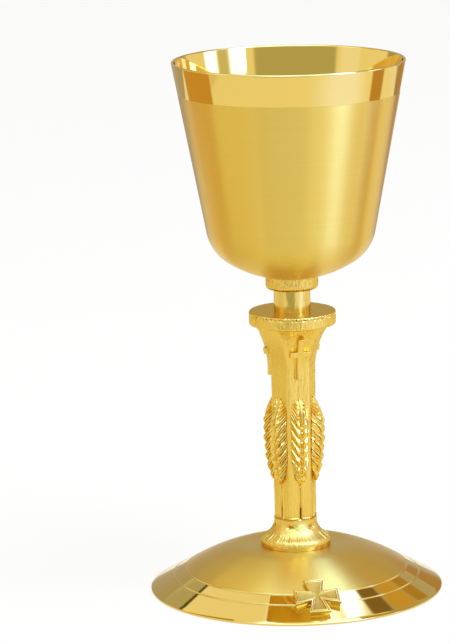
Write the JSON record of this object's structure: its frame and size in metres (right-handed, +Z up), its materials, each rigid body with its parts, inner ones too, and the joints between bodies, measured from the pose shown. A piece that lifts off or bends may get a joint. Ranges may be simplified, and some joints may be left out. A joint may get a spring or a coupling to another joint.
{
  "type": "chalice",
  "caption": "Gilt chalice: tapered satin cup, knop and cast stem with wheat ears and crosses, and a domed base with an applied cross, clamped on a tie rod.",
  "frame": {"origin": "centre of the base's rest plane, on the axis of the cup and stem", "axes": "+Z up along the axis from the base to the cup, -Y towards the cross on the base"},
  "size_m": [0.1272, 0.1272, 0.2317],
  "materials": {
    "satin_gold": "gold plate over brass, turned satin outside with polished bands",
    "cast_gold": "gold plate over cast brass, bark-like tooling and bright raised grains",
    "polished_gold": "gold plate over brass, polished",
    "plain_brass": "plain turned brass"
  },
  "bodies": {
    "chalice": {"cup": "satin_gold", "cup_boss": "plain_brass", "upper_collar": "cast_gold", "neck_sleeve": "polished_gold", "knop_disc": "cast_gold", "stem_column": "cast_gold", "wheat_ear_1": "cast_gold", "wheat_ear_2": "cast_gold", "wheat_ear_3": "cast_gold", "wheat_ear_4": "cast_gold", "wheat_ear_5": "cast_gold", "wheat_ear_6": "cast_gold", "stem_cross_1": "cast_gold", "stem_cross_2": "cast_gold", "stem_cross_3": "cast_gold", "base_dome": "satin_gold", "base_cross": "polished_gold", "tie_rod": "plain_brass"},
    "washer": {"base_washer": "plain_brass"},
    "nut": {"base_nut": "plain_brass"}
  },
  "joints": [
    {"name": "washer_drop", "type": "slide", "parent": "chalice", "child": "washer", "axis": [0, 0, -1], "range_m": [0, 0.006]},
    {"name": "nut_turn", "type": "hinge", "parent": "washer", "child": "nut", "pos_m": [0, 0, 0.0135], "axis": [0, 0, -1], "range_deg": [0, 2196]}
  ],
  "couplings": [
    {"joint": "nut_turn", "follows": "washer_drop", "rad_per_m": 6283.2}
  ]
}
